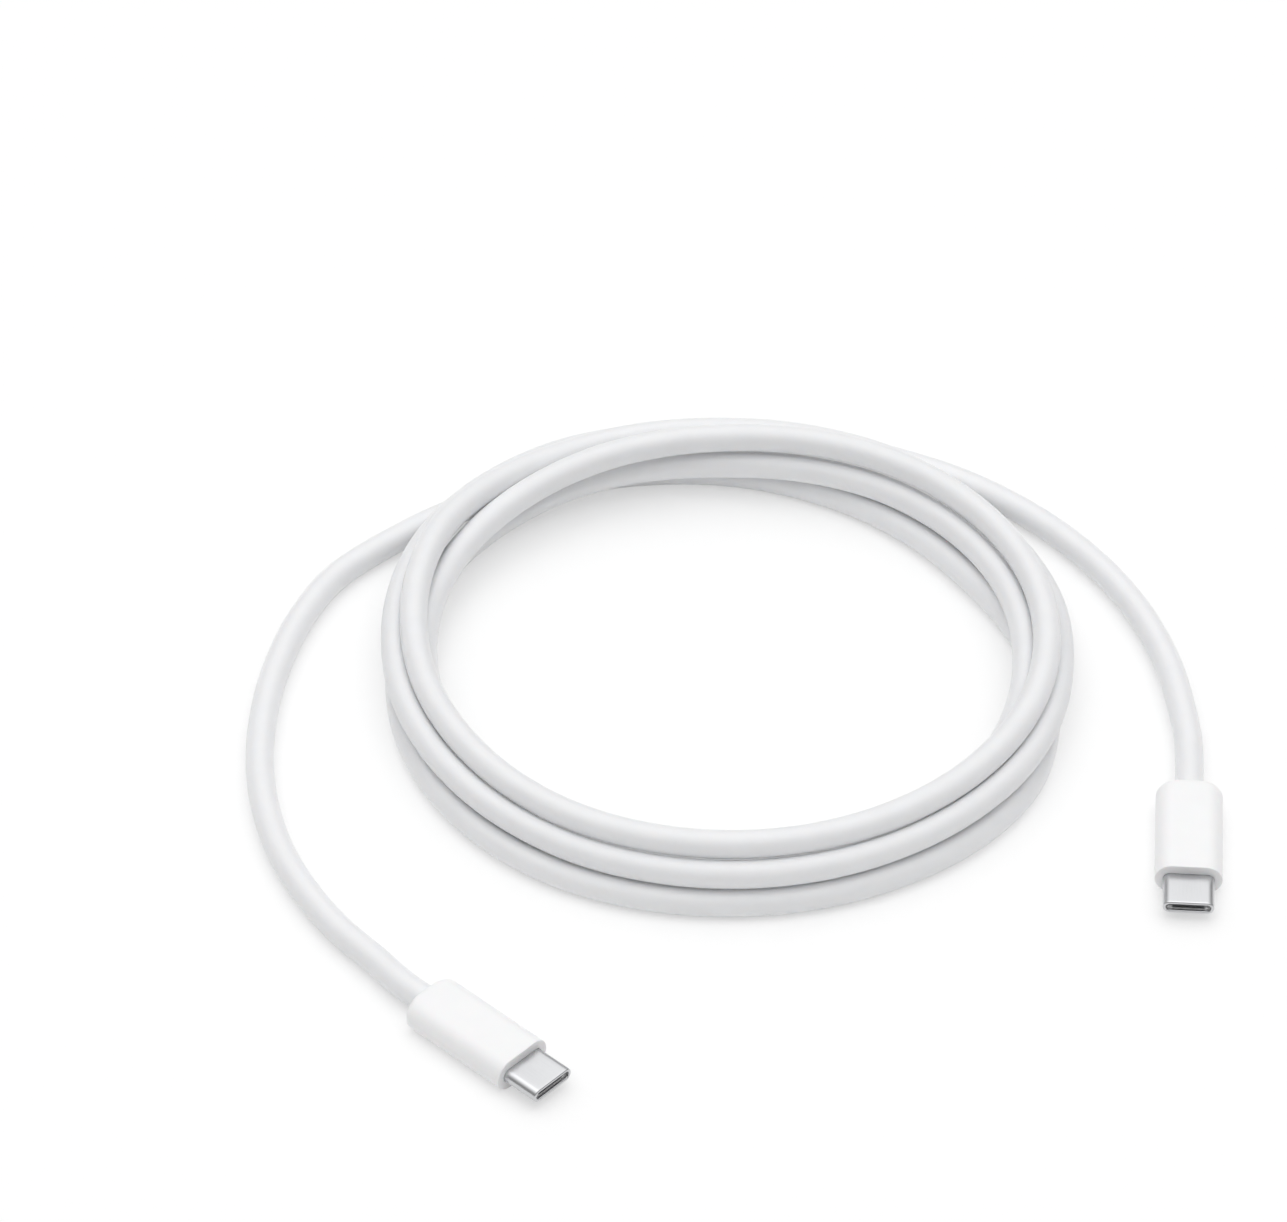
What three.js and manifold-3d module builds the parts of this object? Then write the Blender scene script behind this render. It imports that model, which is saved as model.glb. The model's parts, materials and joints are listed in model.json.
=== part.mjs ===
// A charging cable: one plug on each end of a round white cord, which lies in a coil of four turns
// with a free tail at each end. Millimetres, +Z up. The cable lies on the plane z = 0, with its
// origin under the middle of the two plugs.
import * as THREE from 'three';
import { mergeVertices } from 'three/addons/utils/BufferGeometryUtils.js';
import Module from 'manifold-3d';

const wasm = await Module();
wasm.setup();

// ---------------------------------------------------------------- driving dimensions

const FACE_GAP = 0.3;          // between pieces that meet face to face
const SEAT_GAP = 0.1;          // round a piece that sits in another
const SLIP_GAP = 0.05;         // round the smallest pieces, which are pressed in place

const CUT_PAST = 1;            // how far a cutter reaches past what it cuts
const ARC_STEPS = 10;          // steps round each half turn of an outline

const cord = { diameter: 4.65, sides: 10, stepsPerTail: 13, settle: 0.2, fall: 4 };
const boot = { length: 20.9, width: 10.9, height: 5.65, rearWall: 2.2, frontWall: 1.5 };
const bootEdge = { rear: 0.94, front: 0.25, steps: 4 };
const shell = { width: 8.25, height: 2.4, wall: 0.2, shown: 6.6, hidden: 3.5 };
const shellLip = { round: 0.22, reach: 0.5, depth: 0.42 };
const collar = { wall: 0.2, recess: 0.4 };
const can = { wall: 0.2, headroom: 0.2 };
const insulator = { setback: 0.6 };
const tongueSlot = { margin: 0.475, height: 0.76, depth: 5.6 };
const contact = {
  width: 0.26, thickness: 0.14, pitch: 0.5, places: 12, reach: 3.4, beam: 3.4, tail: 2.4,
  bump: { depth: 0.17, half: 0.9, crest: 0.45, fall: 0.035 },
};
const latch = {
  thickness: 0.2, height: 0.5, room: 0.275, bow: 0.5, lean: 0.1, root: 0.4, hook: 1.6, bend: 1.2, end: 0.9,
};
const spring = { width: 5, thickness: 0.12, lift: 0.14, bump: 0.12, flat: 0.5, half: 0.45, end: 0.4 };
const card = { margin: 0.725, thickness: 0.8, wireRoom: 2.5 };
const pads = { count: 4, inner: 0.5, outer: 1.5 };
const chip = { length: 2.4, width: 2, height: 0.55 };
const ferrule = { length: 3.6, outer: 3.4, inner: 2.9 };
const wire = { diameter: 0.8, bundle: 0.55, pad: 1.8, sides: 6, steps: 14 };

// Where each plug lies: the middle of its rear face and the way that it points, in degrees.
const PLUGS = {
  left: { x: -62.36, y: -13.38, heading: -43.2 },
  right: { x: 60.32, y: 34.9, heading: -93.9 },
};

const COLOURS = {
  jacket: { color: 0xf2f2f2, roughness: 0.55, metalness: 0 },
  boot: { color: 0xf6f6f6, roughness: 0.4, metalness: 0 },
  collar: { color: 0x2a2a2c, roughness: 0.6, metalness: 0 },
  steel: { color: 0xc9c9cb, roughness: 0.3, metalness: 1 },
  insulator: { color: 0xe0e0e3, roughness: 0.5, metalness: 0 },
  gold: { color: 0xd8b04a, roughness: 0.25, metalness: 1 },
  board: { color: 0x1f5a34, roughness: 0.5, metalness: 0 },
  chip: { color: 0x161616, roughness: 0.5, metalness: 0 },
  red: { color: 0xb3261e, roughness: 0.6, metalness: 0 },
  black: { color: 0x1a1a1a, roughness: 0.6, metalness: 0 },
  green: { color: 0x2e7d4f, roughness: 0.6, metalness: 0 },
  white: { color: 0xeeeeee, roughness: 0.6, metalness: 0 },
};

// ---------------------------------------------------------------- geometry helpers

const X = new THREE.Vector3(1, 0, 0);
const Y = new THREE.Vector3(0, 1, 0);
const Z = new THREE.Vector3(0, 0, 1);

function part(name, geometry, colour) {
  const mesh = new THREE.Mesh(geometry, new THREE.MeshStandardMaterial(COLOURS[colour]));
  mesh.name = name;
  return mesh;
}

// A closed skin over rings of points that all have the same count, with flat ends.
function skin(rings) {
  const sides = rings[0].length;
  const points = rings.flat();
  const faces = [];
  for (let ring = 0; ring < rings.length - 1; ring += 1) {
    for (let side = 0; side < sides; side += 1) {
      const a = ring * sides + side;
      const b = ring * sides + (side + 1) % sides;
      faces.push(a, b, a + sides, b, b + sides, a + sides);
    }
  }
  const last = (rings.length - 1) * sides;
  for (let side = 1; side < sides - 1; side += 1) {
    faces.push(0, side + 1, side);
    faces.push(last, last + side, last + side + 1);
  }
  const geometry = new THREE.BufferGeometry();
  const numbers = points.flatMap((point) => point.toArray());
  geometry.setAttribute('position', new THREE.Float32BufferAttribute(numbers, 3));
  geometry.setIndex(faces);
  return geometry;
}

function toSolid(geometry) {
  const bare = geometry.clone();
  bare.deleteAttribute('normal');
  bare.deleteAttribute('uv');
  const merged = mergeVertices(bare, 1e-4);
  return new wasm.Manifold(new wasm.Mesh({
    numProp: 3,
    vertProperties: new Float32Array(merged.attributes.position.array),
    triVerts: new Uint32Array(merged.index.array),
  }));
}

function toGeometry(solid) {
  const mesh = solid.getMesh();
  const geometry = new THREE.BufferGeometry();
  geometry.setAttribute('position', new THREE.Float32BufferAttribute(mesh.vertProperties, 3));
  geometry.setIndex(Array.from(mesh.triVerts));
  return geometry;
}

function cut(geometry, cutters) {
  return toGeometry(cutters.reduce((solid, cutter) => solid.subtract(toSolid(cutter)), toSolid(geometry)));
}

function box(x0, x1, y0, y1, z0, z1) {
  const geometry = new THREE.BoxGeometry(x1 - x0, y1 - y0, z1 - z0);
  return geometry.translate((x0 + x1) / 2, (y0 + y1) / 2, (z0 + z1) / 2);
}

// The outline of a slot with round ends: across, up.
function stadium(width, height) {
  const radius = height / 2;
  const reach = width / 2 - radius;
  const shape = new THREE.Shape();
  shape.moveTo(-reach, -radius);
  shape.lineTo(reach, -radius);
  shape.absarc(reach, 0, radius, -Math.PI / 2, Math.PI / 2, false);
  shape.lineTo(-reach, radius);
  shape.absarc(-reach, 0, radius, Math.PI / 2, 1.5 * Math.PI, false);
  return shape;
}

function circle(diameter) {
  return new THREE.Shape().absarc(0, 0, diameter / 2, 0, 2 * Math.PI, false);
}

// Runs an outline along the plug's axis, from one place to another.
function run(shape, from, to) {
  const settings = { depth: to - from, bevelEnabled: false, curveSegments: ARC_STEPS };
  const geometry = new THREE.ExtrudeGeometry(shape, settings);
  geometry.applyMatrix4(new THREE.Matrix4().makeBasis(Y, Z, X));
  return geometry.translate(from, 0, 0);
}

function polygon(sides, diameter, firstCorner) {
  return [...Array(sides).keys()].map((corner) => {
    const turn = firstCorner + (corner / sides) * 2 * Math.PI;
    return new THREE.Vector2(Math.cos(turn), Math.sin(turn)).multiplyScalar(diameter / 2);
  });
}

function sleeve(outer, inner, from, to) {
  outer.holes.push(inner);
  return run(outer, from, to);
}

// Runs an outline drawn from the side (along, up) across the plug.
function slab(points, middle, width) {
  const shape = new THREE.Shape(points.map(([along, up]) => new THREE.Vector2(along, up)));
  const geometry = new THREE.ExtrudeGeometry(shape, { depth: width, bevelEnabled: false });
  geometry.applyMatrix4(new THREE.Matrix4().makeBasis(X, Z, Y.clone().negate()));
  return geometry.translate(0, middle + width / 2, 0);
}

// A strip of even thickness that follows a line of points, as an outline.
function strip(line, thickness) {
  return [...line, ...line.map(([along, up]) => [along, up + thickness]).reverse()];
}

function mirror(geometry, axis) {
  const scale = new THREE.Vector3(1, 1, 1);
  scale[axis] = -1;
  const flipped = geometry.clone().scale(scale.x, scale.y, scale.z);
  if (!flipped.index) {
    flipped.setIndex([...Array(flipped.attributes.position.count).keys()]);
  }
  const order = Array.from(flipped.index.array);
  for (let face = 0; face < order.length; face += 3) {
    [order[face + 1], order[face + 2]] = [order[face + 2], order[face + 1]];
  }
  flipped.setIndex(order);
  return flipped;
}

// ---------------------------------------------------------------- plug pieces
// Each is drawn about the plug's own axis: x forward from the boot's rear face, y across, z up.

const shellTip = boot.length + shell.shown;
const shellStart = boot.length - shell.hidden;
const insideShell = { width: shell.width - 2 * shell.wall, height: shell.height - 2 * shell.wall };
const insulatorStart = shellStart + insulator.setback;
const insulatorTip = shellTip - insulator.setback;

// The boot's hollow holds the shield can, and its front wall holds the collar round the shell.
const cavityEnd = boot.length - boot.frontWall;
const collarRoom = SLIP_GAP + collar.wall + SEAT_GAP;
const mouth = { width: shell.width + 2 * collarRoom, height: shell.height + 2 * collarRoom };
const insideCan = {
  width: shell.width + 2 * SEAT_GAP,
  height: shell.height + 2 * can.headroom,
};
const outsideCan = { width: insideCan.width + 2 * can.wall, height: insideCan.height + 2 * can.wall };

// From the rear wall to the insulator: the ferrule, the wires' way up, and the card.
const ferruleStart = boot.rearWall + FACE_GAP;
const ferruleEnd = ferruleStart + ferrule.length;
const cardStart = ferruleEnd + card.wireRoom;
const cardEnd = insulatorStart - FACE_GAP;
const cardWidth = insideShell.width - 2 * card.margin;
const cardTop = card.thickness / 2;

const contactLevel = cardTop + SEAT_GAP;
const springLevel = tongueSlot.height / 2 + spring.lift;
const latchSide = insideShell.width / 2 - latch.room - latch.thickness;
const latchTip = latchSide - latch.bow;
const latchRoot = shellStart + latch.root;

function bootRing(inset, along) {
  const outline = stadium(boot.width - 2 * inset, boot.height - 2 * inset).extractPoints(ARC_STEPS).shape;
  return outline.map((p) => new THREE.Vector3(along, p.x, p.y));
}

function makeBoot() {
  const rings = [];
  for (let step = 0; step <= bootEdge.steps; step += 1) {
    const turn = (step / bootEdge.steps) * (Math.PI / 2);
    rings.push(bootRing(bootEdge.rear * (1 - Math.sin(turn)), bootEdge.rear * (1 - Math.cos(turn))));
  }
  rings.push(bootRing(0, boot.length - bootEdge.front));
  rings.push(bootRing(bootEdge.front, boot.length));
  const cavity = stadium(outsideCan.width + 2 * FACE_GAP, outsideCan.height + 2 * FACE_GAP);
  return cut(skin(rings), [
    run(cavity, boot.rearWall, cavityEnd),
    run(stadium(mouth.width, mouth.height), cavityEnd - CUT_PAST, boot.length + CUT_PAST),
    run(circle(ferrule.outer), -CUT_PAST, boot.rearWall + CUT_PAST),
  ]);
}

function makeCollar() {
  const outer = stadium(mouth.width - 2 * SEAT_GAP, mouth.height - 2 * SEAT_GAP);
  const inner = stadium(shell.width + 2 * SLIP_GAP, shell.height + 2 * SLIP_GAP);
  return sleeve(outer, inner, cavityEnd + SEAT_GAP, boot.length - collar.recess);
}

// The shell's front edge is rolled in to a thick lip round the opening.
function makeShell() {
  const outline = (inset) => stadium(shell.width - 2 * inset, shell.height - 2 * inset);
  const bendStart = shellTip - shellLip.round;
  const body = run(outline(0), shellStart, bendStart);
  const bend = run(outline(shellLip.round), bendStart, shellTip);
  const bore = run(outline(shell.wall), shellStart - CUT_PAST, shellTip - shellLip.depth);
  const opening = run(outline(shellLip.reach), shellStart, shellTip + CUT_PAST);
  return toGeometry(toSolid(body).add(toSolid(bend)).subtract(toSolid(bore)).subtract(toSolid(opening)));
}

// The contacts of each row lie at these places out of twelve, numbered across the plug.
const CONTACT_ROWS = {
  a: { places: [1, 4, 5, 6, 7, 9, 12], above: true },
  b: { places: [1, 4, 5, 9, 12], above: false },
};

function contactSide(place) {
  return (place - (contact.places + 1) / 2) * contact.pitch;
}

// From the side: a tail that lies over the card, a beam, and a bump that meets the tongue.
function contactLine() {
  const middle = insulatorTip - contact.reach;
  const { depth, half, crest, fall } = contact.bump;
  const low = contactLevel - depth;
  return [
    [cardEnd - contact.tail, contactLevel],
    [middle - contact.beam, contactLevel],
    [middle - crest, low + fall],
    [middle, low],
    [middle + crest, low + fall],
    [middle + half, contactLevel],
  ];
}

function makeContact(place, above) {
  const geometry = slab(strip(contactLine(), contact.thickness), contactSide(place), contact.width);
  return above ? geometry : mirror(geometry, 'z');
}

function contactGroove(place, above) {
  const side = contactSide(place);
  const half = contact.width / 2 + SLIP_GAP;
  const low = tongueSlot.height / 2 - SEAT_GAP;
  const high = contactLevel + contact.thickness + SLIP_GAP;
  const end = insulatorTip - contact.reach + contact.bump.half + FACE_GAP;
  const groove = box(insulatorStart - CUT_PAST, end, side - half, side + half, low, high);
  return above ? groove : mirror(groove, 'z');
}

function latchSlot(sign) {
  const half = latch.height / 2 + SEAT_GAP;
  const [near, far] = [latchTip - SEAT_GAP, insideShell.width];
  const slot = box(insulatorStart - CUT_PAST, insulatorTip + CUT_PAST, near, far, -half, half);
  return sign > 0 ? slot : mirror(slot, 'y');
}

const springLength = spring.flat + 2 * spring.half + spring.end;

function springRecess(above) {
  const half = spring.width / 2 + SEAT_GAP;
  const top = springLevel + spring.thickness + SLIP_GAP;
  const start = insulatorTip - springLength - 2 * SEAT_GAP;
  const recess = box(start, insulatorTip + CUT_PAST, -half, half, 0, top);
  return above ? recess : mirror(recess, 'z');
}

function makeInsulator() {
  const block = stadium(insideShell.width - 2 * SLIP_GAP, insideShell.height - 2 * SLIP_GAP);
  const slot = stadium(insideShell.width - 2 * tongueSlot.margin, tongueSlot.height);
  const grooves = Object.values(CONTACT_ROWS).flatMap(({ places, above }) => (
    places.map((place) => contactGroove(place, above))
  ));
  return cut(run(block, insulatorStart, insulatorTip), [
    run(slot, insulatorTip - tongueSlot.depth, insulatorTip + CUT_PAST),
    ...grooves,
    latchSlot(1),
    latchSlot(-1),
    springRecess(true),
    springRecess(false),
  ]);
}

function makeGroundSpring(above) {
  const start = insulatorTip - SEAT_GAP - springLength;
  const crest = start + spring.flat + spring.half;
  const line = [
    [start, springLevel],
    [crest - spring.half, springLevel],
    [crest, springLevel - spring.bump],
    [crest + spring.half, springLevel],
    [start + springLength, springLevel],
  ];
  const geometry = slab(strip(line, spring.thickness), 0, spring.width);
  return above ? geometry : mirror(geometry, 'z');
}

// From above: a straight spring whose tip bends in to hold the tongue.
function makeLatch(sign) {
  const hook = insulatorTip - latch.hook;
  const inner = [
    [latchRoot, latchSide],
    [hook - latch.bend, latchSide - latch.lean],
    [hook, latchTip],
    [hook + latch.end, latchSide - latch.lean],
  ];
  const outer = inner.map(([along, side]) => [along, side + latch.thickness]).reverse();
  const shape = new THREE.Shape([...inner, ...outer].map(([along, side]) => new THREE.Vector2(along, side)));
  const geometry = new THREE.ExtrudeGeometry(shape, { depth: latch.height, bevelEnabled: false });
  geometry.translate(0, 0, -latch.height / 2);
  return sign > 0 ? geometry : mirror(geometry, 'y');
}

function makeCard() {
  return box(cardStart, cardEnd, -cardWidth / 2, cardWidth / 2, -cardTop, cardTop);
}

// The chip lies on the card, midway between the wires' ends and the contacts' tails.
function makeChip() {
  const middle = (cardStart + wire.pad + cardEnd - contact.tail) / 2;
  const half = chip.length / 2;
  const low = cardTop + SLIP_GAP;
  return box(middle - half, middle + half, -chip.width / 2, chip.width / 2, low, low + chip.height);
}

function makeCan() {
  const outer = stadium(outsideCan.width, outsideCan.height);
  const inner = stadium(insideCan.width, insideCan.height);
  return sleeve(outer, inner, ferruleEnd + FACE_GAP, cavityEnd - FACE_GAP);
}

function makeFerrule() {
  return sleeve(circle(ferrule.outer), circle(ferrule.inner), ferruleStart, ferruleEnd);
}

// A wire runs in the bundle, then spreads to its pad on top of the card. The upper two go straight
// up to the inner pads, and the lower two go round them to the outer pads.
function makeWire(side, up) {
  const rest = cardTop + SLIP_GAP + wire.diameter / 2;
  const bundle = wire.bundle;
  const pad = (cardWidth / pads.count) * (up > 0 ? pads.inner : pads.outer);
  const midway = up > 0 ? (bundle + rest) / 2 : -bundle / 3;
  const points = [
    [FACE_GAP, side * bundle, up * bundle],
    [ferruleEnd - FACE_GAP, side * bundle, up * bundle],
    [ferruleEnd + card.wireRoom / 3, side * (bundle + pad) / 2, midway],
    [cardStart - SEAT_GAP, side * pad, rest],
    [cardStart + wire.pad / 3, side * pad, rest],
    [cardStart + wire.pad, side * pad, rest],
  ];
  const path = new THREE.CatmullRomCurve3(points.map((p) => new THREE.Vector3(...p)), false, 'centripetal');
  const section = new THREE.Shape(polygon(wire.sides, wire.diameter, 0));
  return new THREE.ExtrudeGeometry(section, { steps: wire.steps, bevelEnabled: false, extrudePath: path });
}

function makePlug(name, place) {
  const plug = new THREE.Group();
  const add = (piece, geometry, colour) => plug.add(part(`${name}_${piece}`, geometry, colour));
  add('boot', makeBoot(), 'boot');
  add('collar', makeCollar(), 'collar');
  add('shell', makeShell(), 'steel');
  add('insulator', makeInsulator(), 'insulator');
  for (const [row, { places, above }] of Object.entries(CONTACT_ROWS)) {
    places.forEach((number) => add(`contact_${row}${number}`, makeContact(number, above), 'gold'));
  }
  add('latch_port', makeLatch(1), 'steel');
  add('latch_starboard', makeLatch(-1), 'steel');
  add('ground_spring_top', makeGroundSpring(true), 'steel');
  add('ground_spring_bottom', makeGroundSpring(false), 'steel');
  add('card', makeCard(), 'board');
  add('marker_chip', makeChip(), 'chip');
  add('shield_can', makeCan(), 'steel');
  add('crimp_ferrule', makeFerrule(), 'steel');
  add('wire_supply', makeWire(1, 1), 'red');
  add('wire_ground', makeWire(-1, 1), 'black');
  add('wire_data_plus', makeWire(1, -1), 'green');
  add('wire_data_minus', makeWire(-1, -1), 'white');
  plug.position.set(place.x, place.y, boot.height / 2);
  plug.rotation.z = THREE.MathUtils.degToRad(place.heading);
  return plug;
}

// ---------------------------------------------------------------- cord

// The coil is wound clockwise from its outer start. Every 30 degrees a station says where the cord
// crosses: pitches out from the coil's middle radius, and pitches up from the ground.
const coil = {
  x: -14.43, y: 64.73, middleRadius: 52, clearance: 0.45, stationStep: 30, stepsPerTurn: 24, sides: 6,
  firstStation: 180, start: 150, end: -1380, wayStep: 2,
};
coil.pitch = cord.diameter + coil.clearance;

const STATIONS = [
  // down from the left tail, along the ground, inside and then out under the rest
  [4.75, 0], [2.95, 0], [0.89, 0], [-0.1, 0], [-0.75, 0], [-0.95, 0.05], [-0.1, 0], [0.85, 0],
  [0.78, 0], [0.73, 0], [0.83, 0], [0.7, 0], [0.5, 0],
  // over itself at the back, then down and along the inside of the front
  [0.45, 0.05], [-0.01, 0.55], [-0.74, 0.94], [-0.55, 1], [-0.5, 1], [-0.55, 1], [-0.6, 0.55], [-1.2, 0.05],
  [-1.15, 0.05], [-1.05, 0], [-0.75, 0.3], [-0.35, 0.65],
  // up on top of the pile for a whole turn
  [-0.18, 1.13], [-0.51, 1.83], [-0.58, 2.04], [-0.13, 2], [0.15, 1.85], [0.15, 1.8], [0.01, 1.83],
  [-0.2, 1.77], [-0.26, 1.77], [-0.31, 1.72], [-0.36, 1.7], [-0.06, 1.72],
  // down the outside, round the second layer, and away along the ground
  [0.57, 1.91], [0.68, 1.51], [1.2, 0.9], [1.4, 0.65], [1.2, 0.15], [0.65, 0.8], [0.66, 1.07], [0.45, 1],
  [0.4, 1], [0.35, 0.95], [0.38, 1], [0.64, 1], [1.2, 1.08], [1.48, 0.9], [1.97, 0.08], [2.2, 0], [3.2, 0],
];

function stationBetween(index, share, axis) {
  const value = (offset) => STATIONS[THREE.MathUtils.clamp(index + offset, 0, STATIONS.length - 1)][axis];
  const [before, from, to, after] = [-1, 0, 1, 2].map(value);
  const bend = 2 * before - 5 * from + 4 * to - after;
  const twist = 3 * (from - to) + after - before;
  return from + 0.5 * share * (to - before + share * (bend + share * twist));
}

// The cord's centre at an angle in degrees, which falls along the coil.
function coilPoint(angle) {
  const place = (coil.firstStation - angle) / coil.stationStep;
  const index = Math.floor(place);
  const radius = coil.middleRadius + coil.pitch * stationBetween(index, place - index, 0);
  const rise = Math.max(0, coil.pitch * stationBetween(index, place - index, 1));
  const turn = THREE.MathUtils.degToRad(angle);
  const height = cord.diameter / 2 + rise;
  return new THREE.Vector3(coil.x + radius * Math.cos(turn), coil.y + radius * Math.sin(turn), height);
}

// The way that the cord leaves one end of the coil, which it keeps for one diameter.
function leavingWay(angle, beyond) {
  return coilPoint(beyond).sub(coilPoint(angle)).setZ(0).normalize();
}

const coilWays = {
  left: leavingWay(coil.start, coil.start + coil.wayStep),
  right: leavingWay(coil.end, coil.end - coil.wayStep),
};
const coilEnds = {
  left: coilPoint(coil.start).addScaledVector(coilWays.left, cord.diameter),
  right: coilPoint(coil.end).addScaledVector(coilWays.right, cord.diameter),
};

function coilRoute() {
  const step = 360 / coil.stepsPerTurn;
  const route = [coilEnds.left];
  for (let angle = coil.start; angle >= coil.end; angle -= step) {
    route.push(coilPoint(angle));
  }
  return [...route, coilEnds.right];
}

// The least gap that the wound cord keeps to its other turns, measured on points. Points that lie
// closer than this along the coil, in degrees, belong to the same stretch.
const measure = { step: 2.5, apart: 60 };
function leastGap() {
  const points = [];
  for (let angle = coil.start; angle >= coil.end; angle -= measure.step) {
    points.push({ angle, place: coilPoint(angle) });
  }
  let least = Infinity;
  points.forEach((one, index) => {
    points.slice(index).filter((other) => one.angle - other.angle > measure.apart).forEach((other) => {
      least = Math.min(least, one.place.distanceTo(other.place) - cord.diameter);
    });
  });
  return least;
}

function makeCoil(route) {
  const corners = polygon(coil.sides, cord.diameter, Math.PI / 2);
  const rings = route.map((centre, index) => {
    const before = route[Math.max(index - 1, 0)];
    const after = route[Math.min(index + 1, route.length - 1)];
    const way = after.clone().sub(before).normalize();
    const side = new THREE.Vector3().crossVectors(Z, way).normalize();
    const up = new THREE.Vector3().crossVectors(way, side);
    return corners.map(({ x, y }) => centre.clone().addScaledVector(side, x).addScaledVector(up, y));
  });
  return skin(rings);
}

// The free tails on the ground, chosen by hand from the plug to the coil: x, y.
const TAILS = {
  left: [[-70.6, -4.1], [-76.7, 3.1], [-82.2, 11.6], [-86.8, 21.4], [-89.8, 32.5], [-91.1, 44.3],
    [-90.7, 56.1], [-88.8, 67.6], [-85.5, 78.6]],
  right: [[60.8, 42], [61, 48.4], [60.5, 55], [58.5, 67.9], [54.7, 79.9], [49.2, 90.5], [42.5, 99.6],
    [35, 107.2]],
};

function plugRear(name, away) {
  const { x, y, heading } = PLUGS[name];
  const turn = THREE.MathUtils.degToRad(heading);
  return new THREE.Vector3(x - away * Math.cos(turn), y - away * Math.sin(turn), boot.height / 2);
}

// A tail comes straight out of its plug, which holds it a little higher than the ground does.
function makeTail(name) {
  const ground = TAILS[name].map(([x, y], index) => (
    new THREE.Vector3(x, y, cord.diameter / 2 + cord.settle / cord.fall ** index)
  ));
  const points = [
    plugRear(name, FACE_GAP),
    plugRear(name, cord.diameter),
    ...ground,
    coilEnds[name].clone().addScaledVector(coilWays[name], cord.diameter),
    coilEnds[name].clone().addScaledVector(coilWays[name], FACE_GAP),
  ];
  const path = new THREE.CatmullRomCurve3(points, false, 'centripetal');
  console.log(`${name} tail: ${path.getLength().toFixed(0)} mm`);
  const section = new THREE.Shape(polygon(cord.sides, cord.diameter, 0));
  const settings = { steps: cord.stepsPerTail, bevelEnabled: false, extrudePath: path };
  return new THREE.ExtrudeGeometry(section, settings);
}

function makeCord() {
  const route = coilRoute();
  const length = new THREE.CatmullRomCurve3(route).getLength();
  console.log(`coil: ${length.toFixed(0)} mm, least gap ${leastGap().toFixed(2)} mm`);
  const group = new THREE.Group();
  group.add(part('cord_tail_left', makeTail('left'), 'jacket'));
  group.add(part('cord_coil', makeCoil(route), 'jacket'));
  group.add(part('cord_tail_right', makeTail('right'), 'jacket'));
  return group;
}

// ---------------------------------------------------------------- the cable

const cable = new THREE.Group();
cable.add(makeCord());
Object.entries(PLUGS).forEach(([name, place]) => cable.add(makePlug(name, place)));

export default cable;
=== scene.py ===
"""A white charging cable on a pale table, lit by a wide soft studio light from above and behind."""
import json
import math

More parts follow.
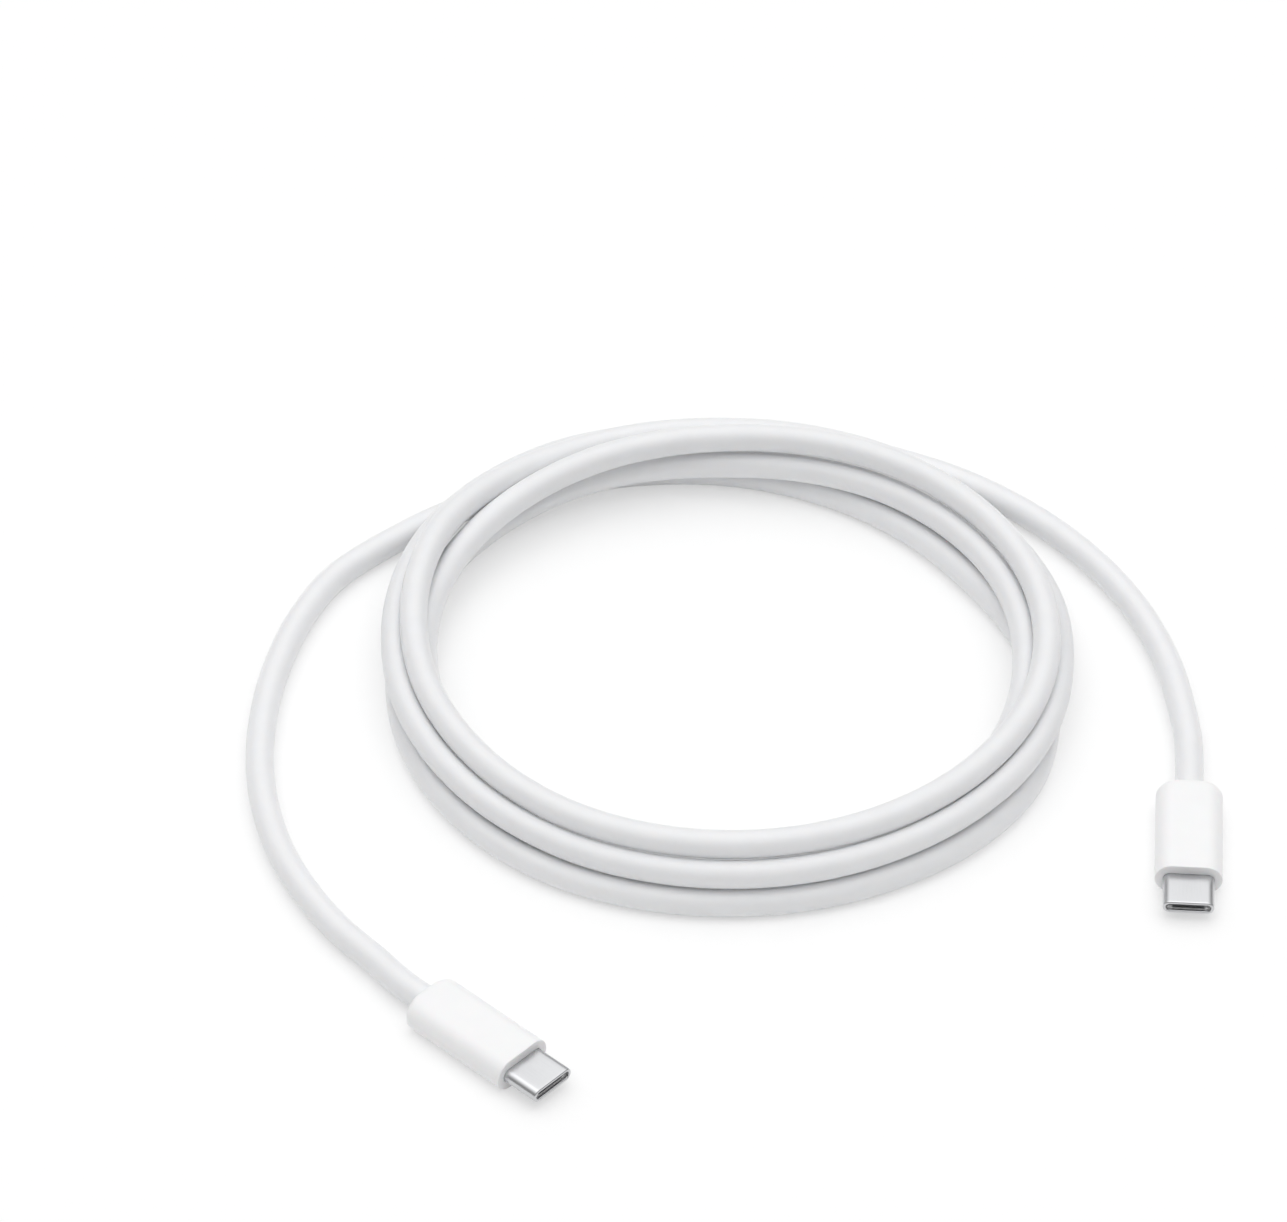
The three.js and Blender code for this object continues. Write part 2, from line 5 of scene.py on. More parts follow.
import bpy
from mathutils import Matrix, Vector
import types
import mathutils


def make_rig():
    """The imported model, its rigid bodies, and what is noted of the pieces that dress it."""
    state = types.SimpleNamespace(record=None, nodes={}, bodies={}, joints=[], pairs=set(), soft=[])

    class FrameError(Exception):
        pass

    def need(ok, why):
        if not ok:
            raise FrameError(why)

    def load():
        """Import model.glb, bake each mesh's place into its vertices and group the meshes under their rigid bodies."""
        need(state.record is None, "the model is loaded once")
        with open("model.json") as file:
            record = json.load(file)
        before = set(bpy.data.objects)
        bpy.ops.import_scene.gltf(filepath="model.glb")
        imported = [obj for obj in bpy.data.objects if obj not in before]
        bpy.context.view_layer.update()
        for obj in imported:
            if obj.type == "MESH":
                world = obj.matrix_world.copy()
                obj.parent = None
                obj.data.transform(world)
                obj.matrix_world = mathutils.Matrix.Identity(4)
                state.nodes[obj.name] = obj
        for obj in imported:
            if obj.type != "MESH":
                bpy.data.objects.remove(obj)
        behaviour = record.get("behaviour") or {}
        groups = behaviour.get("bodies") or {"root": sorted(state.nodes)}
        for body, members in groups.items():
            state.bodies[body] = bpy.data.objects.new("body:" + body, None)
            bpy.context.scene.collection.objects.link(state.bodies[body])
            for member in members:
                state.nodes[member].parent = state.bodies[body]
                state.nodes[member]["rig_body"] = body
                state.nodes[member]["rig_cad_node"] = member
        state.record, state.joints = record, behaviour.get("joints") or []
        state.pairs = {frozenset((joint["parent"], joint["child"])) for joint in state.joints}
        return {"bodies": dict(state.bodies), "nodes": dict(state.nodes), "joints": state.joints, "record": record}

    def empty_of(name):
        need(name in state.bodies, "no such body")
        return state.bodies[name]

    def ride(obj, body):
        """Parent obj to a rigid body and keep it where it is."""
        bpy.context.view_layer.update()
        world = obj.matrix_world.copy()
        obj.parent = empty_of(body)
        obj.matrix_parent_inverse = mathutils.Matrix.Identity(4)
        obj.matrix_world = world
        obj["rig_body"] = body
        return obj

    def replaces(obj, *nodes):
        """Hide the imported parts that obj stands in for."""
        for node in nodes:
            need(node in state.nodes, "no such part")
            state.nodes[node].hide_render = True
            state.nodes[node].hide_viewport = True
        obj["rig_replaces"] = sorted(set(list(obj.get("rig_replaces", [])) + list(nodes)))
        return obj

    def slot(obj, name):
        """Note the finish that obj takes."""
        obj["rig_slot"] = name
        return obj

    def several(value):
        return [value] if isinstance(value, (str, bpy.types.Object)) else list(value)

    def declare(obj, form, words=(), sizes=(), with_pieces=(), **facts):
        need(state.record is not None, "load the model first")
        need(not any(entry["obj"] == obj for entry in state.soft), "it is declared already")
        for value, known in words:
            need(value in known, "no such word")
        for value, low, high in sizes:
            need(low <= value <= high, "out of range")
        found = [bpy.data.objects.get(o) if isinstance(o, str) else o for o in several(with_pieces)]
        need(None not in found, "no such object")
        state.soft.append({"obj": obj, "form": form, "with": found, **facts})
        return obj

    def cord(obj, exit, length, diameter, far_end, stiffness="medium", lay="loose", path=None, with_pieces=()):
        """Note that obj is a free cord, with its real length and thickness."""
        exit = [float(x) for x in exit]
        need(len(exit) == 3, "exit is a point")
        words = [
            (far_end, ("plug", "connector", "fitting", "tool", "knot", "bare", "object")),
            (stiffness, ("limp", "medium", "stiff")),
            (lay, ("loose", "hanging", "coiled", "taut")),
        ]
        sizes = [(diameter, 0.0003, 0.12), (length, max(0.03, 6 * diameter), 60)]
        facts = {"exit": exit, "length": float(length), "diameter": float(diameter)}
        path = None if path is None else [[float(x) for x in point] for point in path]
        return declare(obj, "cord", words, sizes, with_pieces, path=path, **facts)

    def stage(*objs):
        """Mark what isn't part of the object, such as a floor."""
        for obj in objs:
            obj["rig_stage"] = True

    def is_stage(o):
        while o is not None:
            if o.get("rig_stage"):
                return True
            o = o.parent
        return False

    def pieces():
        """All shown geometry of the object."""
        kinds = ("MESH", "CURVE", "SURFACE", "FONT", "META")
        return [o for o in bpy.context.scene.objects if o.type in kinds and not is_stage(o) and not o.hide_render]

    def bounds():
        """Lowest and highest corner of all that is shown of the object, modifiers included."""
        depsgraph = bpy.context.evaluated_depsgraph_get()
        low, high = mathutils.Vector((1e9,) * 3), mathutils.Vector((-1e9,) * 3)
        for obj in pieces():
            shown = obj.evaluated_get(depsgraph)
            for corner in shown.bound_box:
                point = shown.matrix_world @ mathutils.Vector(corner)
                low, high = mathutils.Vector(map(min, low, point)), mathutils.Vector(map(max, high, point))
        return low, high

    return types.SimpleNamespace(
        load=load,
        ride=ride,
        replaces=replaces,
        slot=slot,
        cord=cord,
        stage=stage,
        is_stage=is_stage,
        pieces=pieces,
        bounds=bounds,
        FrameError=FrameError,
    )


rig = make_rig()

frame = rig.load()
cad_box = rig.bounds()

MM = 0.001
BODY = "cable"

# ------------------------------------------------------------------ sizes, in millimetres

CORD_DIAMETER = 4.65
CORD_PITCH = 4.7
# How far a tail's first point stays above the table, and how many times less each next one does.
CORD_SETTLE = 0.2
CORD_FALL = 4
# How far behind each boot's rear face the cord's first points lie, the first of them in its bore.
CORD_EXITS = (-1.2, 0.3, CORD_DIAMETER)
# Steps between two points of the route, and how finely the cord's round section is cut.
CORD_STEPS = {"along": 6, "round": 8}

BOOT = {"length": 20.9, "width": 10.9, "height": 5.65, "front_radius": 0.16, "front_steps": 6}
# The rear is rounded seen from above, and this share as much seen from the side.
BOOT_REAR = {"radius": 1.6, "share": 0.22, "steps": 12}
BOOT_BORE = {"radius": 2.4, "depth": 1.6, "edge": 0.05}
BOOT_MOUTH = {"width": 8.31, "height": 2.46, "depth": 1.1, "edge": 0.04}

SHELL = {"width": 8.25, "height": 2.4, "wall": 0.2, "shown": 6.6, "hidden": 3.5}
SHELL_LIP = {"round": 0.28, "reach": 0.55, "inner_round": 0.2, "depth": 0.42, "step": 0.06,
             "outer_steps": 8, "inner_steps": 6}

# A small edge is rounded through one point, which lies this share of the edge in from both faces.
EDGE_MIDDLE = 0.3
# The bevel on the pieces that keep their solids.
BEVEL = {"width": 0.03, "segments": 2}
# Where the surface turns by more than this from one face to the next, it has an edge.
SHARP_ANGLE = math.radians(40)

# The middle of each boot's rear face, and the way that the plug points, in degrees.
PLUGS = {
    "left": {"x": -62.36, "y": -13.38, "heading": -43.2},
    "right": {"x": 60.32, "y": 34.9, "heading": -93.9},
}

# ------------------------------------------------------------------ camera

CAMERA = {"tilt": 41.09, "distance": 1093.7, "target": (-28.33, 82.73, 0),
          "focal_px": 6500, "width_px": 1287, "sensor_width": 36}
# What lies nearer or farther than this isn't drawn, in metres.
CAMERA_CLIP = {"near": 0.01, "far": 50}


def make_camera():
    data = bpy.data.cameras.new("camera")
    data.sensor_fit = "HORIZONTAL"
    data.sensor_width = CAMERA["sensor_width"]
    data.lens = CAMERA["sensor_width"] * CAMERA["focal_px"] / CAMERA["width_px"]
    data.clip_start = CAMERA_CLIP["near"]
    data.clip_end = CAMERA_CLIP["far"]
    camera = bpy.data.objects.new("camera", data)
    bpy.context.scene.collection.objects.link(camera)
    tilt = math.radians(CAMERA["tilt"])
    away = Vector((0, -math.cos(tilt), math.sin(tilt))) * CAMERA["distance"]
    camera.location = (Vector(CAMERA["target"]) + away) * MM
    camera.rotation_euler = (math.pi / 2 - tilt, 0, 0)
    bpy.context.scene.camera = camera


# ------------------------------------------------------------------ cord

COIL = {"x": -14.43, "y": 64.73, "middle_radius": 52, "first_station": 180, "station_step": 30,
        "start": 150, "end": -1380, "step": 15}

# Every 30 degrees along the coil: pitches out from its middle radius, and pitches up from the table.
STATIONS = [
    # down from the left tail, along the table, inside and then out under the rest
    (4.75, 0), (2.95, 0), (0.89, 0), (-0.1, 0), (-0.75, 0), (-0.95, 0.05), (-0.1, 0), (0.85, 0),
    (0.78, 0), (0.73, 0), (0.83, 0), (0.7, 0), (0.5, 0),
    # over itself at the back, then down and along the inside of the front
    (0.45, 0.05), (-0.01, 0.55), (-0.74, 0.94), (-0.55, 1), (-0.5, 1), (-0.55, 1), (-0.6, 0.55), (-1.2, 0.05),
    (-1.15, 0.05), (-1.05, 0), (-0.75, 0.3), (-0.35, 0.65),
    # up on top of the pile for a whole turn
    (-0.18, 1.13), (-0.51, 1.83), (-0.58, 2.04), (-0.13, 2), (0.15, 1.85), (0.15, 1.8), (0.01, 1.83),
    (-0.2, 1.77), (-0.26, 1.77), (-0.31, 1.72), (-0.36, 1.7), (-0.06, 1.72),
    # down the outside, round the second layer, and away along the table
    (0.57, 1.91), (0.68, 1.51), (1.2, 0.9), (1.4, 0.65), (1.2, 0.15), (0.65, 0.8), (0.66, 1.07), (0.45, 1),
    (0.4, 1), (0.35, 0.95), (0.38, 1), (0.64, 1), (1.2, 1.08), (1.48, 0.9), (1.97, 0.08), (2.2, 0), (3.2, 0),
]

# The free tails on the table, from each plug to the coil: x, y.
TAILS = {
    "left": [(-70.6, -4.1), (-76.7, 3.1), (-82.2, 11.6), (-86.8, 21.4), (-89.8, 32.5), (-91.1, 44.3),
             (-90.7, 56.1), (-88.8, 67.6), (-85.5, 78.6), (-80.8, 88)],
    "right": [(60.8, 42), (61, 48.4), (60.5, 55), (58.5, 67.9), (54.7, 79.9), (49.2, 90.5), (42.5, 99.6),
              (35, 107.2), (26.5, 113.6)],
}


def station_between(index, share, axis):
    """A smooth value between one station and the next."""
    places = (min(max(index + offset, 0), len(STATIONS) - 1) for offset in (-1, 0, 1, 2))
    before, start, end, after = (STATIONS[place][axis] for place in places)
    bend = 2 * before - 5 * start + 4 * end - after
    twist = 3 * (start - end) + after - before
    return start + 0.5 * share * (end - before + share * (bend + share * twist))


def coil_point(angle):
    """The cord's centre at an angle in degrees, which falls along the coil."""
    place = (COIL["first_station"] - angle) / COIL["station_step"]
    index = math.floor(place)
    radius = COIL["middle_radius"] + CORD_PITCH * station_between(index, place - index, 0)
    rise = max(0, CORD_PITCH * station_between(index, place - index, 1))
    turn = math.radians(angle)
    height = CORD_DIAMETER / 2 + rise
    return Vector((COIL["x"] + radius * math.cos(turn), COIL["y"] + radius * math.sin(turn), height))


def plug_rear(name, away):
    """The point on a plug's axis that lies this far behind its boot's rear face."""
    plug = PLUGS[name]
    turn = math.radians(plug["heading"])
    return Vector((plug["x"] - away * math.cos(turn), plug["y"] - away * math.sin(turn), BOOT["height"] / 2))


def tail_points(name):
    """From inside the boot's rear, straight out, and then along the table."""
    out = [plug_rear(name, away) for away in CORD_EXITS]
    heights = (CORD_DIAMETER / 2 + CORD_SETTLE / CORD_FALL ** index for index in range(len(TAILS[name])))
    return out + [Vector((x, y, height)) for (x, y), height in zip(TAILS[name], heights)]


def cord_route():
    angles = range(COIL["start"], COIL["end"] - 1, -COIL["step"])
    return tail_points("left") + [coil_point(angle) for angle in angles] + tail_points("right")[::-1]


def line_of(curve):
    """The points that a curve without thickness is drawn through, in metres."""
    bpy.context.view_layer.update()
    mesh = curve.evaluated_get(bpy.context.evaluated_depsgraph_get()).to_mesh()
    return [vertex.co.copy() for vertex in mesh.vertices]


def length_of(line):
    return sum((after - before).length for before, after in zip(line, line[1:]))


def handles(route, index):
    """Where a smooth curve through the route's points bends towards each neighbour of one of them."""
    place = route[index]
    into = place - route[max(index - 1, 0)]
    out = route[min(index + 1, len(route) - 1)] - place
    way = (into.normalized() * out.length + out.normalized() * into.length).normalized()
    if index in (0, len(route) - 1):
        way = (into + out).normalized()
    return place - way * into.length / 3, place + way * out.length / 3


def route_curve():
    """One smooth open curve through the whole route, from the left plug to the right one."""
    data = bpy.data.curves.new("route", "CURVE")
    data.dimensions = "3D"
    data.resolution_u = CORD_STEPS["along"]
    route = cord_route()
    spline = data.splines.new("BEZIER")
    spline.bezier_points.add(len(route) - 1)
    for index, point in enumerate(spline.bezier_points):
        left, right = handles(route, index)
        point.handle_left_type = point.handle_right_type = "FREE"
        point.co = route[index] * MM
        point.handle_left = left * MM
        point.handle_right = right * MM
    curve = bpy.data.objects.new("route", data)
    bpy.context.scene.collection.objects.link(curve)
    return curve


def make_cord(material):
    """The cord as a round tube, and the line that it follows."""
    curve = route_curve()
    line = line_of(curve)
    curve.data.bevel_depth = CORD_DIAMETER / 2 * MM
    curve.data.bevel_resolution = CORD_STEPS["round"]
    curve.data.use_fill_caps = True
    bpy.context.view_layer.update()
    drawn = curve.evaluated_get(bpy.context.evaluated_depsgraph_get())
    cord = bpy.data.objects.new("cord", bpy.data.meshes.new_from_object(drawn))
    bpy.data.objects.remove(curve)
    bpy.context.scene.collection.objects.link(cord)
    cord.data.materials.clear()
    cord.data.materials.append(material)
    cord.data.polygons.foreach_set("use_smooth", [True] * len(cord.data.polygons))
    cord.data.set_sharp_from_angle(angle=SHARP_ANGLE)
    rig.ride(cord, BODY)
    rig.slot(cord, "jacket")
    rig.replaces(cord, "cord_tail_left", "cord_coil", "cord_tail_right")
    return cord, line


# ------------------------------------------------------------------ mesh helpers


def plug_matrix(name):
    """Places a piece drawn about a plug's axis: x forward from the boot's rear, y across, z up."""
    plug = PLUGS[name]
    place = Matrix.Translation(Vector((plug["x"], plug["y"], BOOT["height"] / 2)) * MM)
    return place @ Matrix.Rotation(math.radians(plug["heading"]), 4, "Z")


def stadium(width, height, arc=28, flat=10):
    """Points round a slot with round ends: (across, up)."""
    radius = height / 2
    reach = width / 2 - radius
    points = []
    for side in (1, -1):
        for step in range(arc):
            turn = math.pi * (step / arc - 0.5)
            points.append((side * (reach + radius * math.cos(turn)), side * radius * math.sin(turn)))
        for step in range(flat):
            points.append((side * reach * (1 - 2 * step / flat), side * radius))
    return points


def circle_like(outline, radius):
    """Points on a circle, one in the direction of each point of an outline."""
    turns = [math.atan2(up, across) for across, up in outline]
    return [(radius * math.cos(turn), radius * math.sin(turn)) for turn in turns]


def ring(outline, along):
    """An outline's points in metres, this far along the plug."""
    return [(along * MM, across * MM, up * MM) for across, up in outline]


def loft(name, rings, closed=False):
    """A skin of quads over rings of points; closed joins the last ring to the first."""
    count = len(rings[0])
    vertices = [point for points in rings for point in points]
    faces = []
    last = len(rings) if closed else len(rings) - 1
    for row in range(last):
        below = row * count
        above = (row + 1) % len(rings) * count
        for side in range(count):
            after = (side + 1) % count
            faces.append((below + side, below + after, above + after, above + side))
    mesh = bpy.data.meshes.new(name)
    mesh.from_pydata(vertices, [], faces)
    mesh.update()
    mesh.polygons.foreach_set("use_smooth", [True] * len(mesh.polygons))
    mesh.set_sharp_from_angle(angle=SHARP_ANGLE)
    piece = bpy.data.objects.new(name, mesh)
    bpy.context.scene.collection.objects.link(piece)
    return piece


def settle(piece, plug, material, slot, *nodes):
    """Puts a piece on its plug, with its material, in place of these nodes."""
    piece.matrix_world = plug_matrix(plug)
    piece.data.materials.append(material)
    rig.ride(piece, BODY)
    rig.slot(piece, slot)
    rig.replaces(piece, *nodes)
    return piece


def quarter(radius, steps):
    """Inset and advance round a quarter of an edge: from the face to the side."""
    for step in range(steps + 1):
        turn = step / steps * math.pi / 2
        yield radius * (1 - math.sin(turn)), radius * (1 - math.cos(turn))


# ------------------------------------------------------------------ materials


def new_material(name, colour, roughness, metallic=0.0):
    material = bpy.data.materials.new(name)
    material.use_nodes = True
    shader = material.node_tree.nodes["Principled BSDF"]
    shader.inputs["Base Color"].default_value = (*colour, 1)
    shader.inputs["Roughness"].default_value = roughness
    shader.inputs["Metallic"].default_value = metallic
    return material, material.node_tree, shader


def add_noise(tree, scale, detail=3.0, stretch=(1, 1, 1)):
    """A noise in the piece's own space; scale is in waves a metre."""
    place = tree.nodes.new("ShaderNodeTexCoord")
    mapping = tree.nodes.new("ShaderNodeMapping")
    mapping.inputs["Scale"].default_value = stretch
    noise = tree.nodes.new("ShaderNodeTexNoise")
    noise.inputs["Scale"].default_value = scale
    noise.inputs["Detail"].default_value = detail
    tree.links.new(place.outputs["Object"], mapping.inputs["Vector"])
    tree.links.new(mapping.outputs["Vector"], noise.inputs["Vector"])
    return noise.outputs["Fac"]


def add_ramp(tree, source, low, high, start=0.3, end=0.7):
    """One colour up to the start, the other from the end on, and a blend of the two between."""
    ramp = tree.nodes.new("ShaderNodeValToRGB")
    ramp.color_ramp.elements[0].position = start
    ramp.color_ramp.elements[1].position = end
    ramp.color_ramp.elements[0].color = (*low, 1)
    ramp.color_ramp.elements[1].color = (*high, 1)
    tree.links.new(source, ramp.inputs["Fac"])
    return ramp.outputs["Color"]


def add_range(tree, source, low, high):
    span = tree.nodes.new("ShaderNodeMapRange")
    span.inputs["To Min"].default_value = low
    span.inputs["To Max"].default_value = high
    tree.links.new(source, span.inputs["Value"])
    return span.outputs["Result"]


def add_bump(tree, shader, source, height, strength):
    bump = tree.nodes.new("ShaderNodeBump")
    bump.inputs["Distance"].default_value = height
    bump.inputs["Strength"].default_value = strength
    tree.links.new(source, bump.inputs["Height"])
    tree.links.new(bump.outputs["Normal"], shader.inputs["Normal"])


def moulded(name, colour, roughness, grain=9000, relief=0.00001, spread=0.015, sheen=0.07):
    """A moulded plastic: a faint cloudiness in its colour, and a fine even grain in gloss and relief."""
    material, tree, shader = new_material(name, colour, roughness)
    cloud = add_noise(tree, scale=260, detail=2)
    low = tuple(max(0, c - spread) for c in colour)
    high = tuple(min(1, c + spread) for c in colour)
    tree.links.new(add_ramp(tree, cloud, low, high), shader.inputs["Base Color"])
    fine = add_noise(tree, scale=grain, detail=4)
    gloss = add_range(tree, fine, roughness - sheen, roughness + sheen)
    tree.links.new(gloss, shader.inputs["Roughness"])
    add_bump(tree, shader, fine, height=relief, strength=0.35)
    return material


def make_jacket():
    """The cord's soft jacket: satin and a little translucent."""
    material = moulded("jacket", (0.85, 0.855, 0.867), 0.3, grain=5200, relief=0.000006, spread=0.008)
    shader = material.node_tree.nodes["Principled BSDF"]
    shader.inputs["Subsurface Weight"].default_value = 0.35
    shader.inputs["Subsurface Radius"].default_value = (1, 0.9, 0.8)
    shader.inputs["Subsurface Scale"].default_value = 0.0012
    shader.inputs["Specular IOR Level"].default_value = 0.5
    return material


def make_boot_plastic():
    material = moulded("boot_plastic", (0.918, 0.918, 0.923), 0.38, grain=6500, relief=0.000006, spread=0.006)
    shader = material.node_tree.nodes["Principled BSDF"]
    shader.inputs["Subsurface Weight"].default_value = 0.06
    shader.inputs["Subsurface Scale"].default_value = 0.0008
    shader.inputs["Specular IOR Level"].default_value = 0.4
    return material


def drawn_steel(name, colour, roughness):
    """Drawn stainless steel: fine scratches along x, with a soft change in gloss."""
    material, tree, shader = new_material(name, colour, roughness, 1.0)
    lines = add_noise(tree, scale=9000, detail=3, stretch=(0.03, 1, 1))
    cloud = add_noise(tree, scale=420, detail=2)
    tree.links.new(add_range(tree, cloud, roughness - 0.05, roughness + 0.06), shader.inputs["Roughness"])
    low = tuple(c - 0.03 for c in colour)
    tree.links.new(add_ramp(tree, lines, low, colour), shader.inputs["Base Color"])
    add_bump(tree, shader, lines, height=0.000004, strength=0.3)
    shader.inputs["Anisotropic"].default_value = 0.3
    return material


def gilt(name):
    """Gilt metal, a little uneven in its colour and gloss."""
    material, tree, shader = new_material(name, (0.83, 0.6, 0.25), 0.22, 1.0)
    cloud = add_noise(tree, scale=1800, detail=3)
    tree.links.new(add_ramp(tree, cloud, (0.74, 0.5, 0.18), (0.88, 0.66, 0.3)), shader.inputs["Base Color"])
    tree.links.new(add_range(tree, cloud, 0.16, 0.3), shader.inputs["Roughness"])
    add_bump(tree, shader, cloud, height=0.000003, strength=0.3)
    return material


def make_materials():
    return {
        "jacket": make_jacket(),
        "boot": make_boot_plastic(),
        # Painted shade: the collar is black so that it stands for the shade in the thin gap between the shell and the
        # boot's mouth.
        "collar": moulded("collar_painted_shade_black", (0.035, 0.035, 0.037), 0.6),
        "steel": drawn_steel("steel", (0.63, 0.635, 0.647), 0.3),
        "insulator": moulded("insulator_plastic", (0.93, 0.93, 0.935), 0.5),
        "gold": gilt("gilt"),
        "board": moulded("board_lacquer", (0.03, 0.16, 0.07), 0.35),
        "chip": moulded("chip_plastic", (0.02, 0.02, 0.02), 0.6),
        "red": moulded("red_insulation", (0.5, 0.03, 0.02), 0.45),
        "black": moulded("black_insulation", (0.02, 0.02, 0.02), 0.45),
        "green": moulded("green_insulation", (0.04, 0.25, 0.09), 0.45),
        "white": moulded("white_insulation", (0.84, 0.84, 0.84), 0.45),
    }


# ------------------------------------------------------------------ plugs


def boot_outline(inset):
    """The boot's section, drawn in by this much."""
    return stadium(BOOT["width"] - 2 * inset, BOOT["height"] - 2 * inset)


def rear_outline(inset):
    """The boot's section at its rear, drawn in by less in its height than in its width."""
    return stadium(BOOT["width"] - 2 * inset, BOOT["height"] - 2 * BOOT_REAR["share"] * inset)


def make_boot(plug, material):
    """The moulded boot, from its bore round the outside to inside its mouth."""
    outline = boot_outline(0)
    edge = BOOT_BORE["edge"]
    rings = [ring(circle_like(outline, BOOT_BORE["radius"]), BOOT_BORE["depth"])]
    rings += [ring(circle_like(outline, BOOT_BORE["radius"] + inset), out)
              for inset, out in ((0, edge), (EDGE_MIDDLE * edge, EDGE_MIDDLE * edge), (edge, 0))]
    rear = quarter(BOOT_REAR["radius"], BOOT_REAR["steps"])
    rings += [ring(rear_outline(inset), out) for inset, out in rear]
    front = list(quarter(BOOT["front_radius"], BOOT["front_steps"]))
    rings += [ring(boot_outline(inset), BOOT["length"] - out) for inset, out in reversed(front)]
    edge = BOOT_MOUTH["edge"]
    middle = EDGE_MIDDLE * edge
    for wider, back in ((edge, 0), (middle, middle), (0, edge), (0, BOOT_MOUTH["depth"])):
        mouth = stadium(BOOT_MOUTH["width"] + 2 * wider, BOOT_MOUTH["height"] + 2 * wider)
        rings.append(ring(mouth, BOOT["length"] - back))
    boot = loft(f"{plug}_boot_shell", rings)
    return settle(boot, plug, material, "boot", f"{plug}_boot")


def make_shell(plug, material):
    """The drawn shell, whose front edge is rolled in to a thick lip round the opening."""
    tip = BOOT["length"] + SHELL["shown"]
    length = SHELL["shown"] + SHELL["hidden"]
    wall = SHELL["wall"]
    reach = SHELL_LIP["reach"]
    depth = SHELL_LIP["depth"]
    outer = list(quarter(SHELL_LIP["round"], SHELL_LIP["outer_steps"]))
    inner = quarter(SHELL_LIP["inner_round"], SHELL_LIP["inner_steps"])
    profile = [(0, length), *reversed(outer)]
    profile += [(reach - inset, back) for inset, back in inner]
    profile += [(reach, depth), (wall, depth + SHELL_LIP["step"]), (wall, length)]
    rings = [ring(stadium(SHELL["width"] - 2 * inset, SHELL["height"] - 2 * inset), tip - back)
             for inset, back in profile]
    shell = loft(f"{plug}_drawn_shell", rings, closed=True)
    return settle(shell, plug, material, "steel", f"{plug}_shell")


def dress_nodes(materials):
    """The pieces whose solids are right keep them, with a real finish and softened edges."""
    slots = {part["node"]: part["material_slot"] for part in frame["record"]["subparts"]}
    for name, node in frame["nodes"].items():
        if name.startswith("cord_") or name.endswith(("_boot", "_shell")):
            continue
        node.data.materials.clear()
        node.data.materials.append(materials[slots[name]])
        bevel = node.modifiers.new("edge", "BEVEL")
        bevel.width = BEVEL["width"] * MM
        bevel.segments = BEVEL["segments"]
        bevel.limit_method = "ANGLE"
        bevel.angle_limit = SHARP_ANGLE


# ------------------------------------------------------------------ studio


# Half the table's width in metres, its colour, and the share of plain white where it is seen or mirrored.
TABLE = {"half": 6.0, "colour": 0.985, "white": 0.45}


def make_floor():
    mesh = bpy.data.meshes.new("table")
    half = TABLE["half"]
    corners = [(-half, -half, 0), (half, -half, 0), (half, half, 0), (-half, half, 0)]
    mesh.from_pydata(corners, [], [(0, 1, 2, 3)])
    floor = bpy.data.objects.new("table", mesh)
    bpy.context.scene.collection.objects.link(floor)
    material, tree, shader = new_material("table_white", (TABLE["colour"],) * 3, 1.0)
    shader.inputs["Specular IOR Level"].default_value = 0
    light_path = tree.nodes.new("ShaderNodeLightPath")
    seen = light_path.outputs["Is Camera Ray"]
    for other in ("Is Glossy Ray", "Is Transmission Ray"):
        either = tree.nodes.new("ShaderNodeMath")
        either.operation = "MAXIMUM"
        tree.links.new(seen, either.inputs[0])
        tree.links.new(light_path.outputs[other], either.inputs[1])
        seen = either.outputs["Value"]
    share = tree.nodes.new("ShaderNodeMath")
    share.operation = "MULTIPLY"
    share.inputs[1].default_value = TABLE["white"]
    white = tree.nodes.new("ShaderNodeEmission")
    white.inputs["Strength"].default_value = 1
    mix = tree.nodes.new("ShaderNodeMixShader")
    tree.links.new(seen, share.inputs[0])
    tree.links.new(share.outputs["Value"], mix.inputs["Fac"])
    tree.links.new(shader.outputs["BSDF"], mix.inputs[1])
    tree.links.new(white.outputs["Emission"], mix.inputs[2])
    tree.links.new(mix.outputs["Shader"], tree.nodes["Material Output"].inputs["Surface"])
    mesh.materials.append(material)
    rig.stage(floor)


# The light over the table: even low down, and rising smoothly to a wide soft top a little behind.
LIGHT = {"low": 0.25, "rise": 1.94, "falloff": 3, "back_degrees": 6}


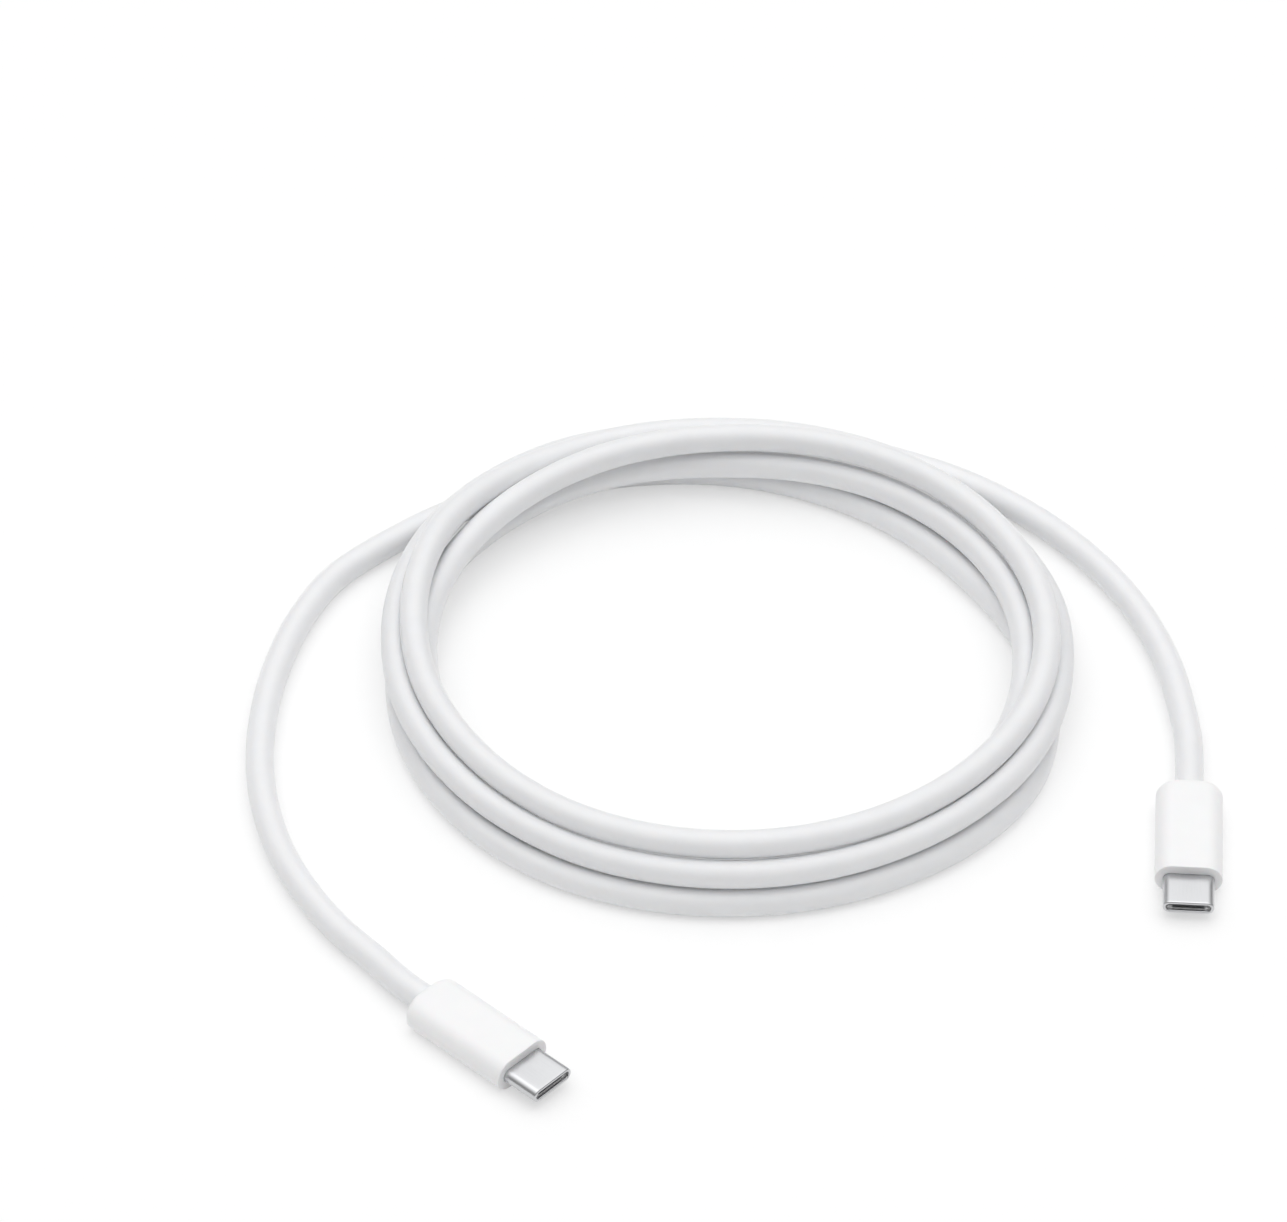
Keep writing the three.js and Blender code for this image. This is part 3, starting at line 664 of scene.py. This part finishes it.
def make_light():
    world = bpy.data.worlds.new("studio")
    bpy.context.scene.world = world
    world.use_nodes = True
    tree = world.node_tree
    background = tree.nodes["Background"]
    background.inputs["Color"].default_value = (1, 1, 1, 1)
    place = tree.nodes.new("ShaderNodeTexCoord")
    height = tree.nodes.new("ShaderNodeVectorMath")
    height.operation = "DOT_PRODUCT"
    back = math.radians(LIGHT["back_degrees"])
    height.inputs[1].default_value = (0, math.sin(back), math.cos(back))
    above = tree.nodes.new("ShaderNodeMath")
    above.operation = "MAXIMUM"
    above.inputs[1].default_value = 0
    rise = tree.nodes.new("ShaderNodeMath")
    rise.operation = "POWER"
    rise.inputs[1].default_value = LIGHT["falloff"]
    strength = tree.nodes.new("ShaderNodeMapRange")
    strength.inputs["To Min"].default_value = LIGHT["low"]
    strength.inputs["To Max"].default_value = LIGHT["low"] + LIGHT["rise"]
    tree.links.new(place.outputs["Generated"], height.inputs[0])
    tree.links.new(height.outputs["Value"], above.inputs[0])
    tree.links.new(above.outputs["Value"], rise.inputs[0])
    tree.links.new(rise.outputs["Value"], strength.inputs["Value"])
    tree.links.new(strength.outputs["Result"], background.inputs["Strength"])


# ------------------------------------------------------------------ the scene


def build():
    bpy.context.scene.view_settings.view_transform = "Standard"
    make_camera()
    materials = make_materials()
    cord, line = make_cord(materials["jacket"])
    shown = {}
    for plug in PLUGS:
        shown[plug] = (make_boot(plug, materials["boot"]), make_shell(plug, materials["steel"]))
    dress_nodes(materials)
    length = length_of(line)
    print(f"cord: {length:.4f} m")
    contacts = [node for name, node in frame["nodes"].items() if name.startswith("right_contact")]
    on_cord = [*shown["right"], *contacts]
    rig.cord(cord, exit=tuple(plug_rear("left", 0) * MM), length=length, diameter=CORD_DIAMETER * MM,
            far_end="plug", stiffness="medium", lay="coiled", path=line, with_pieces=on_cord)
    make_floor()
    make_light()


build()
bpy.context.view_layer.update()
visual_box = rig.bounds()
with open("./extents.json", "w") as sizes:
    json.dump({"cad": [list(corner) for corner in cad_box], "visual": [list(corner) for corner in visual_box]}, sizes)
